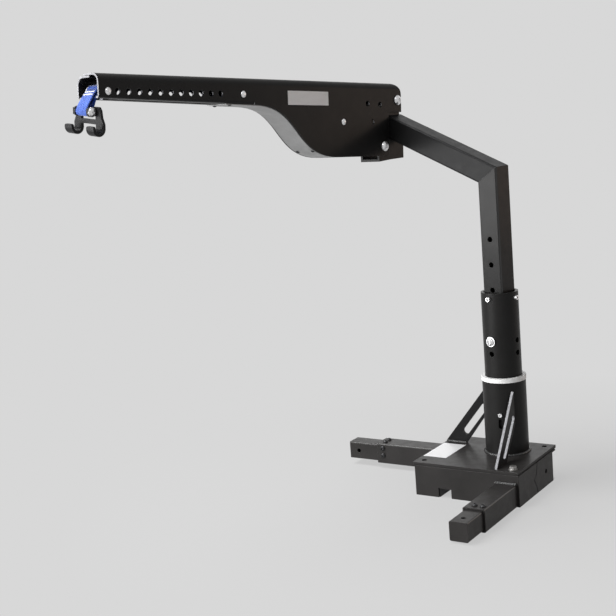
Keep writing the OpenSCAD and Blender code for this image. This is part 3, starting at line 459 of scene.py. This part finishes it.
# High rubbing share: the beads' lighter crests are partly painted glints
WELD_COAT = powder_coat("powder_coat_weld", grey(0.012), rough=0.3, wear_and_highlight=0.9, coat=1.0)
ZINC = plated("zinc_plate", (0.86, 0.86, 0.87, 1.0))
WORN_ZINC = plated("worn_zinc", (0.4, 0.39, 0.38, 1.0), rough=0.25)
BLACK_OXIDE = plated("black_oxide_screws", (0.05, 0.05, 0.052, 1.0), rough=0.3)
NYLON = nylon("natural_nylon")
GREY = grey_paint("satin_grey", grey(0.2))
BLUE = webbing("blue_webbing", (0.017, 0.085, 0.48, 1.0))
THREAD = thread("white_thread")
FILM = label_film("blank_film")

# Finish of each material slot, and of the pieces that have one of their own
LOOKS = {
    "black": BLACK,
    "zinc": ZINC,
    "nylon": NYLON,
    "grey_steel": GREY,
    "webbing": BLUE,
    "label_white": FILM,
}
OWN_LOOK = {
    "gusset_left": BLACK_EDGE,
    "gusset_front": BARE_EDGE_AND_HIGHLIGHT,
    "mast_arm": BLACK_EDGE,
    "mast_post": POST_COAT,
    "boom_near_shell": CUT_END,
    "boom_far_shell": CUT_END,
    "hook": HOOK_COAT,
    "base_bolt": WORN_ZINC,
    "cover_screws": BLACK_OXIDE,
    "front_socket_screws": BLACK_OXIDE,
    "left_socket_screws": BLACK_OXIDE,
    "base_box": BOX_COAT,
    "base_box_rear": BOX_COAT,
}
for low_piece in ("base_plate", "floor_channel", "left_socket", "front_socket", "left_leg",
                  "left_leg_cap", "front_leg", "front_leg_cap"):
    OWN_LOOK[low_piece] = BASE_COAT


def paint(obj, mat):
    obj.data.materials.clear()
    obj.data.materials.append(mat)


for entry in frame["record"]["subparts"]:
    node_name = entry["node"]
    paint(nodes[node_name], OWN_LOOK.get(node_name, LOOKS[entry["material_slot"]]))


# Mesh helpers
def in_scene(name, data):
    """New object of the scene for a mesh, a lamp or a camera."""
    obj = bpy.data.objects.new(name, data)
    scene.collection.objects.link(obj)
    return obj


def face_outward(obj, join=0.0):
    """Turns the faces outward and smooths them, after joining points closer than a gap."""
    shell = bmesh.new()
    shell.from_mesh(obj.data)
    if join:
        bmesh.ops.remove_doubles(shell, verts=shell.verts, dist=join)
    bmesh.ops.recalc_face_normals(shell, faces=shell.faces)
    shell.to_mesh(obj.data)
    shell.free()
    for face in obj.data.polygons:
        face.use_smooth = True


def mesh_object(name, verts, faces, mat):
    data = bpy.data.meshes.new(name)
    data.from_pydata([tuple(vert) for vert in verts], [], faces)
    data.validate()
    obj = in_scene(name, data)
    paint(obj, mat)
    face_outward(obj)
    return obj


def finish_piece(obj, body, slot, *replaced):
    """Puts a piece on its body, in place of the solids that it stands for. The slot is not used."""
    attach(obj, body)
    if replaced:
        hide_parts(*replaced)


class Pattern:
    """Geometry Nodes tree that follows a line, with named sizes; each run gives a plain mesh."""

    def __init__(self, name, **sizes):
        self.tree = bpy.data.node_groups.new(name, "GeometryNodeTree")
        self.keys = {}
        self.socket("line", "INPUT", "Geometry")
        for label, kind in sizes.items():
            self.keys[label] = self.socket(label, "INPUT", kind).identifier
        self.socket("mesh", "OUTPUT", "Geometry")
        self.given = self.tree.nodes.new("NodeGroupInput").outputs
        self.result = self.tree.nodes.new("NodeGroupOutput")

    def socket(self, label, side, kind):
        return self.tree.interface.new_socket(label, in_out=side, socket_type="NodeSocket" + kind)

    def node(self, kind, feeds=None, **settings):
        node = self.tree.nodes.new(kind)
        for key, value in settings.items():
            setattr(node, key, value)
        for key, value in (feeds or {}).items():
            if isinstance(value, bpy.types.NodeSocket):
                self.tree.links.new(value, node.inputs[key])
            else:
                node.inputs[key].default_value = value
        return node.outputs

    def math(self, operation, first, second=0.0):
        return self.node("ShaderNodeMath", {0: first, 1: second}, operation=operation)[0]

    def scaled(self, vector, by):
        feeds = {"Vector": vector, "Scale": by}
        return self.node("ShaderNodeVectorMath", feeds, operation="SCALE")[0]

    def finish(self, geometry, mat):
        real = self.node("GeometryNodeRealizeInstances", {"Geometry": geometry})[0]
        coated = self.node("GeometryNodeSetMaterial", {"Geometry": real, "Material": mat})[0]
        self.tree.links.new(coated, self.result.inputs[0])

    def run(self, name, lines, closed=False, **values):
        """Plain mesh object that the tree makes along one or more lines of points in metres."""
        points, edges = [], []
        for line in lines:
            first = len(points)
            points += [tuple(point) for point in line]
            edges += [(k, k + 1) for k in range(first, len(points) - 1)]
            if closed:
                edges.append((len(points) - 1, first))
        guide = bpy.data.meshes.new(name + "_line")
        guide.from_pydata(points, edges, [])
        obj = in_scene(name, guide)
        modifier = obj.modifiers.new("pattern", "NODES")
        modifier.node_group = self.tree
        for label, value in values.items():
            modifier[self.keys[label]] = value
        done = obj.evaluated_get(bpy.context.evaluated_depsgraph_get())
        mesh = bpy.data.meshes.new_from_object(done)
        obj.modifiers.remove(modifier)
        obj.data = mesh
        bpy.data.meshes.remove(guide)
        face_outward(obj, join=1e-6)
        return obj


# Webbing: the run in the boom, the wound coil and the hanging loop
def ribbon(name, path, thick, place, across=10):
    """Flat webbing along a path of (s, z) points, with rounded edges and a weave UV."""
    half = STRAP_W / 2
    edge = thick / 2
    ring = []
    for k in range(across + 1):
        ring.append((-half + STRAP_W * k / across, edge, 0))
    ring.append((half + edge * EDGE_ROUND, 0, 1))
    for k in range(across, -1, -1):
        ring.append((-half + STRAP_W * k / across, -edge, 1))
    ring.append((-half - edge * EDGE_ROUND, 0, 0))
    verts, uvs, faces = [], [], []
    run = 0.0
    for k, (s, z) in enumerate(path):
        before = path[max(k - 1, 0)]
        after = path[min(k + 1, len(path) - 1)]
        length = math.hypot(after[0] - before[0], after[1] - before[1])
        normal = (-(after[1] - before[1]) / length, (after[0] - before[0]) / length)
        run += math.hypot(s - before[0], z - before[1])
        for x, lift, side in ring:
            verts.append(place(x, s + normal[0] * lift, z + normal[1] * lift))
            uvs.append(((x + side * 0.5) * MM, run * MM))
    count = len(ring)
    for k in range(len(path) - 1):
        for i in range(count):
            j = (i + 1) % count
            here, next_ring = k * count, (k + 1) * count
            faces.append((here + i, here + j, next_ring + j, next_ring + i))
    faces.append(tuple(range(count)))
    last = (len(path) - 1) * count
    faces.append(tuple(last + i for i in reversed(range(count))))
    obj = mesh_object(name, verts, faces, BLUE)
    layer = obj.data.uv_layers.new(name="weave")
    for loop in obj.data.loops:
        layer.data[loop.index].uv = uvs[loop.vertex_index]
    return obj


def between(start, end, share):
    """Point on the straight line from start to end."""
    return (start[0] + (end[0] - start[0]) * share, start[1] + (end[1] - start[1]) * share)


def straight(start, end, steps=20):
    """Points from start towards end, without the end itself."""
    return [between(start, end, k / steps) for k in range(steps)]


def arc(centre, radius, start, end, steps):
    """Points on an arc, with angles in degrees from +s towards +z."""
    points = []
    for k in range(steps + 1):
        angle = math.radians(start + (end - start) * k / steps)
        points.append((centre[0] + radius * math.cos(angle), centre[1] + radius * math.sin(angle)))
    return points


def boom_place(x, u, v):
    """Point of the boom's frame, with x from its middle."""
    return on_boom(MID_X + x, u, v)


def swing_place(x, s, z):
    """Point of the hanging loop: it twists from level at the tip to the hook's tilt at its pin."""
    share = min(1.0, max(0.0, (ROLLER_Z - z) / (ROLLER_Z - PIN_Z)))
    share = share * share * (3 - 2 * share)
    lean = math.radians(HOOK_TILT) * share
    return swung((MID_X + x * math.cos(lean), -s, z - x * math.sin(lean)))


def strap_run():
    """Webbing from the drum over the guide roller and round the tip roller."""
    start = (DRUM_U, DRUM_V + COIL_R + LIE)
    over_guide = (GUIDE_U, -PIN_DROP + GUIDE_ROLLER_R + LIE)
    over_tip = arc((TIP_U, -PIN_DROP), TIP_ROLLER_R + LIE, TIP_START, TIP_LEAVE, 14)
    path = straight(start, over_guide) + straight(over_guide, over_tip[0]) + over_tip
    return ribbon("webbing_run", path, STRAP_T, boom_place)


def strap_coil():
    """Webbing wound on the drum: a spiral of turns that end where the run begins."""
    turns = int((COIL_R - DRUM_CORE_R) / STRAP_T)
    steps = turns * 40
    inner = DRUM_CORE_R + STRAP_T * 0.6
    growth = COIL_R - DRUM_CORE_R - STRAP_T * 1.1
    path = []
    for k in range(steps + 1):
        share = k / steps
        radius = inner + growth * share
        angle = math.radians(90 - 360.0 * turns * (1 - share))
        path.append((DRUM_U + radius * math.cos(angle), DRUM_V + radius * math.sin(angle)))
    return ribbon("webbing_coil", path, STRAP_T * 0.86, boom_place, across=4)


def strap_loop():
    """Hanging loop: two plies from the sewn joint at the tip round the hook's sleeve.

    Gives the loop and the points of its front ply, which the stitches follow.
    """
    lean = math.radians(TIP_LEAVE + BOOM_RISE)
    radius = TIP_ROLLER_R + LIE
    joint = (-ROLLER_Y + radius * math.cos(lean), ROLLER_Z + radius * math.sin(lean))
    joint = (joint[0] + math.sin(lean), joint[1] - math.cos(lean))
    wrap_end = WRAP_START - 180 - WRAP_PAST
    wrapped = arc((PIN_S, PIN_Z), SLEEVE_R + LIE, WRAP_START, wrap_end, 24)
    front_steps, back_steps = 14, 13
    front, back = [], []
    for k in range(front_steps):
        share = k / front_steps
        s, z = between(joint, wrapped[0], share)
        bow = FRONT_BOW * math.sin(math.pi * share)
        front.append((s + bow, z + bow * 0.5))
    inner = (joint[0] + INNER_PLY[0], joint[1] + INNER_PLY[1])
    for k in range(back_steps):
        back.append(between(wrapped[-1], inner, (k + 1) / back_steps))
    loop = ribbon("webbing_loop", front + wrapped + back, STRAP_T * 0.9, swing_place)
    return loop, front


finish_piece(strap_run(), "mast", "webbing", "strap_run")
finish_piece(strap_coil(), "drum", "webbing", "strap_coil")
loop_piece, loop_front = strap_loop()
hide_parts("strap_loop")
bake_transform(loop_piece)


def stitch_pattern():
    """One thread that zigzags along each line and dips into the webbing between stitches."""
    p = Pattern("zigzag_stitches", stitches="Int", points="Int", thread_radius="Float",
                zigzag="Float", lift="Float", along="Vector", out="Vector")
    given = p.given
    curve = p.node("GeometryNodeMeshToCurve", {"Mesh": given["line"]})[0]
    count = p.math("ADD", p.math("MULTIPLY", given["stitches"], given["points"]), 1.0)
    curve = p.node("GeometryNodeResampleCurve", {"Curve": curve, "Count": count})[0]
    share = p.node("GeometryNodeSplineParameter")["Factor"]
    phase = p.math("MULTIPLY", share, given["stitches"])
    side = p.math("SUBTRACT", p.math("MULTIPLY", p.math("PINGPONG", phase, 1.0), 2.0), 1.0)
    rise = p.math("ABSOLUTE", p.math("SINE", p.math("MULTIPLY", phase, math.pi)))
    sway = p.scaled(given["along"], p.math("MULTIPLY", side, given["zigzag"]))
    hump = p.scaled(given["out"], p.math("MULTIPLY", rise, given["lift"]))
    offset = p.node("ShaderNodeVectorMath", {0: sway, 1: hump}, operation="ADD")[0]
    curve = p.node("GeometryNodeSetPosition", {"Geometry": curve, "Offset": offset})[0]
    section = p.node("GeometryNodeCurvePrimitiveCircle",
                     {"Resolution": 6, "Radius": given["thread_radius"]})[0]
    threads = p.node("GeometryNodeCurveToMesh",
                     {"Curve": curve, "Profile Curve": section, "Fill Caps": True})[0]
    p.finish(threads, THREAD)
    return p


def stitches():
    """Two zigzag bars of thread across the sewn joint."""
    origin = swing_place(0, 0, ROLLER_Z)
    ends = (-STRAP_W / 2 + STITCH_EDGE, STRAP_W / 2 - STITCH_EDGE)
    bars = []
    for row in STITCH_ROWS:
        s = loop_front[row][0] + STITCH_OUT[0] * STITCH_FACE
        z = loop_front[row][1] + STITCH_OUT[1] * STITCH_FACE
        bars.append([swing_place(x, s, z) for x in ends])
    along = swing_place(0, STITCH_ALONG[0], ROLLER_Z + STITCH_ALONG[1]) - origin
    out = swing_place(0, STITCH_OUT[0], ROLLER_Z + STITCH_OUT[1]) - origin
    return stitch_pattern().run(
        "webbing_stitches", bars, stitches=STITCHES, points=STITCH_POINTS,
        thread_radius=THREAD_R * MM, zigzag=ZIGZAG * MM, lift=STITCH_LIFT * MM,
        along=along / MM, out=out / MM)


finish_piece(stitches(), "hoist", "webbing")


# Weld beads: rippled runs that stand for the plain CAD fillets
def weld_pattern():
    """Rippled quarter-round bead along a level line that runs with its open side on the right."""
    p = Pattern("weld_bead", leg="Float", step="Float", ripple_pitch="Float", ripple="Float",
                unevenness="Float")
    given = p.given
    curve = p.node("GeometryNodeMeshToCurve", {"Mesh": given["line"]})[0]
    curve = p.node("GeometryNodeResampleCurve", {"Curve": curve, "Length": given["step"]},
                   mode="LENGTH")[0]
    curve = p.node("GeometryNodeSetCurveNormal", {"Curve": curve}, mode="Z_UP")[0]
    run = p.node("GeometryNodeSplineParameter")["Length"]
    turn = p.math("MULTIPLY", p.math("DIVIDE", run, given["ripple_pitch"]), math.pi)
    wave = p.math("MULTIPLY", p.math("ABSOLUTE", p.math("COSINE", turn)), given["ripple"])
    chance = p.node("FunctionNodeRandomValue", {"Seed": WELD_SEED}, data_type="FLOAT")[1]
    uneven = p.math("MULTIPLY", chance, given["unevenness"])
    swell = p.math("SUBTRACT", p.math("SUBTRACT", 1.0, wave), uneven)
    corner = p.node("GeometryNodeCurveArc",
                    {"Resolution": 9, "Radius": given["leg"], "Start Angle": -math.pi / 2,
                     "Sweep Angle": math.pi / 2, "Connect Center": True}, mode="RADIUS")[0]
    beads = p.node("GeometryNodeCurveToMesh",
                   {"Curve": curve, "Profile Curve": corner, "Scale": swell, "Fill Caps": True})[0]
    p.finish(beads, WELD_COAT)
    return p


def ring_line(radius, z):
    """Points round the pedestal's foot, in metres."""
    turn = 2 * math.pi / RING_STEPS
    return [Vector((radius * math.cos(k * turn), radius * math.sin(k * turn), z)) * MM
            for k in range(RING_STEPS)]


def cross_line(ends, y, z):
    """Straight line between two places along x, in metres."""
    return [Vector((x, y, z)) * MM for x in ends]


def weld(name, line, leg, closed=False):
    """One bead, with a whole number of ripples along it."""
    length = 2 * math.pi * PEDESTAL_R if closed else (line[-1] - line[0]).length / MM
    ripples = round(length / RIPPLE_PITCH)
    return WELD.run(name, [line], closed, leg=leg * MM, step=RIPPLE_PITCH / 4 * MM,
                    ripple_pitch=length / ripples * MM, ripple=RIPPLE_DEPTH,
                    unevenness=BEAD_UNEVENNESS)


WELD = weld_pattern()
welds = [
    weld("weld_pedestal", ring_line(PEDESTAL_R, PLATE_Z), PEDESTAL_BEAD, closed=True),
    weld("weld_left_gusset", cross_line(GUSSET_FOOT_X, GUSSET_FACE_Y, PLATE_Z), GUSSET_BEAD),
    weld("weld_front_socket", cross_line(SOCKET_SIDES_X, SOCKET_FACE_Y, SOCKET_TOP_Z), SOCKET_BEAD),
]
for bead in welds:
    finish_piece(bead, "base", "black")
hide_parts("base_welds")


# Stage: the floor, the world, the lights and the camera
UP = Vector((0, 0, 1))
CENTRE = (-0.15, -0.25, 0.45)
FLOOR_SIZE = 14.0
BACKGROUND = 0.686
WORLD_LEVEL = 0.1
SHADOW_NEAR = 0.25
SHADOW_FAR = 0.9
SHADOW_SHARE = 0.3
# Inside of the hollow base on the floor, in millimetres
HOLLOW_X = (-50, 70)
HOLLOW_Y = (-85, 45)


def backdrop(mat):
    size = FLOOR_SIZE
    data = bpy.data.meshes.new("floor")
    corners = [(-size, -size, 0), (size, -size, 0), (size, size, 0), (-size, size, 0)]
    data.from_pydata(corners, [], [(0, 1, 2, 3)])
    floor = in_scene("floor", data)
    paint(floor, mat)


def seen_rays(tree):
    """1 for camera, glossy and transmission rays, which see the plain background."""
    path = tree.nodes.new("ShaderNodeLightPath")
    total = path.outputs["Is Camera Ray"]
    for name in ("Is Glossy Ray", "Is Transmission Ray"):
        most = tree.nodes.new("ShaderNodeMath")
        most.operation = "MAXIMUM"
        tree.links.new(total, most.inputs[0])
        tree.links.new(path.outputs[name], most.inputs[1])
        total = most.outputs[0]
    return total


def band(look, value, ends, soft=10.0):
    """1 between two places given in millimetres, with soft ends."""
    low, high = ends
    rise = look.remap(value, (low - soft) * MM, low * MM)
    fall = look.remap(value, high * MM, (high + soft) * MM, 1.0, 0.0)
    return look.math("MULTIPLY", rise, fall)


def under_base(look):
    """1 on the floor inside the hollow base, which only its seam and holes show."""
    place = look.axes(look.coord)
    return look.math("MULTIPLY", band(look, place[0], HOLLOW_X), band(look, place[1], HOLLOW_Y))


def floor_material():
    """Pale studio floor that keeps the soft shadow close by and fades to the background."""
    look = Look("floor_pale")
    look.surface("Roughness", 0.9)
    look.surface("Specular IOR Level", 0.1)
    look.surface("Base Color", look.mix(look.noise(3.0), grey(0.62), grey(0.64)))
    seen = look.node("ShaderNodeEmission")
    look.feed(seen, "Color", grey(BACKGROUND))
    far = look.node("ShaderNodeVectorMath", operation="LENGTH")
    look.link(look.coord, far.inputs[0])
    away = look.remap(far.outputs["Value"], SHADOW_NEAR, SHADOW_FAR, 1 - SHADOW_SHARE, 1.0)
    away = look.math("MULTIPLY", away, look.math("SUBTRACT", 1.0, under_base(look)))
    mix = look.node("ShaderNodeMixShader")
    look.link(look.math("MULTIPLY", seen_rays(look.tree), away), mix.inputs[0])
    look.link(look.bsdf.outputs[0], mix.inputs[1])
    look.link(seen.outputs[0], mix.inputs[2])
    look.link(mix.outputs[0], look.out.inputs[0])
    return look.mat


def studio_world():
    """Low even light on the object, and the plain background for the rays that see it."""
    world = bpy.data.worlds.new("studio")
    scene.world = world
    world.use_nodes = True
    tree = world.node_tree
    tree.nodes.clear()
    out = tree.nodes.new("ShaderNodeOutputWorld")
    mix = tree.nodes.new("ShaderNodeMixShader")
    tree.links.new(seen_rays(tree), mix.inputs[0])
    for slot, colour, strength in ((1, grey(1.0), WORLD_LEVEL), (2, grey(BACKGROUND), 1.0)):
        shade = tree.nodes.new("ShaderNodeBackground")
        shade.inputs[0].default_value = colour
        shade.inputs[1].default_value = strength
        tree.links.new(shade.outputs[0], mix.inputs[slot])
    tree.links.new(mix.outputs[0], out.inputs[0])


def area_light(name, place, size, power, colour=(1, 1, 1)):
    """Soft light that looks at the object's middle, with its size in metres and power in watts."""
    data = bpy.data.lights.new(name, "AREA")
    data.shape = "RECTANGLE"
    data.size, data.size_y = size
    data.energy = power
    data.color = colour
    light = in_scene(name, data)
    light.location = place
    light.visible_camera = False
    light.rotation_mode = "QUATERNION"
    light.rotation_quaternion = (Vector(CENTRE) - Vector(place)).to_track_quat("-Z", "Y")


backdrop(floor_material())
studio_world()
area_light("left_wall", (-2.05, -2.7, 0.4), (2.2, 1.8), 150)
area_light("key_over_left", (-1.2, -0.75, 2.8), (1.5, 1.5), 70)
area_light("front_high", (1.0, -1.9, 2.4), (0.5, 0.5), 7)
area_light("back_wall", (-1.3, 2.9, 1.3), (2.6, 1.6), 12)
area_light("right_back", (2.2, 2.2, 0.8), (1.2, 1.4), 6, colour=(1.0, 0.66, 0.45))

# Camera, solved from the photograph: its angles, place, focal length and frame
YAW = math.radians(-33.714)
PITCH = math.radians(-9.815)
ROLL = math.radians(-4.608)
CAMERA_AT = Vector((964.41, -2125.46, 786.29)) * MM
FOCAL_PX = 1189.0
FRAME_PX = 616.0
SENSOR = 36.0


def photo_camera():
    """Camera that sees the object as the photograph does."""
    ahead = Vector((math.sin(YAW), math.cos(YAW), 0))
    beside = Vector((math.cos(YAW), -math.sin(YAW), 0))
    forward = ahead * math.cos(PITCH) + UP * math.sin(PITCH)
    above = UP * math.cos(PITCH) - ahead * math.sin(PITCH)
    right = beside * math.cos(ROLL) + above * math.sin(ROLL)
    up = above * math.cos(ROLL) - beside * math.sin(ROLL)
    data = bpy.data.cameras.new("camera")
    data.sensor_width = SENSOR
    data.lens = SENSOR * FOCAL_PX / FRAME_PX
    data.clip_end = 50.0
    camera = in_scene("camera", data)
    camera.matrix_world = Matrix((
        (right.x, up.x, -forward.x, CAMERA_AT.x),
        (right.y, up.y, -forward.y, CAMERA_AT.y),
        (right.z, up.z, -forward.z, CAMERA_AT.z),
        (0, 0, 0, 1),
    ))
    return camera


scene.camera = photo_camera()
scene.view_settings.view_transform = "Standard"
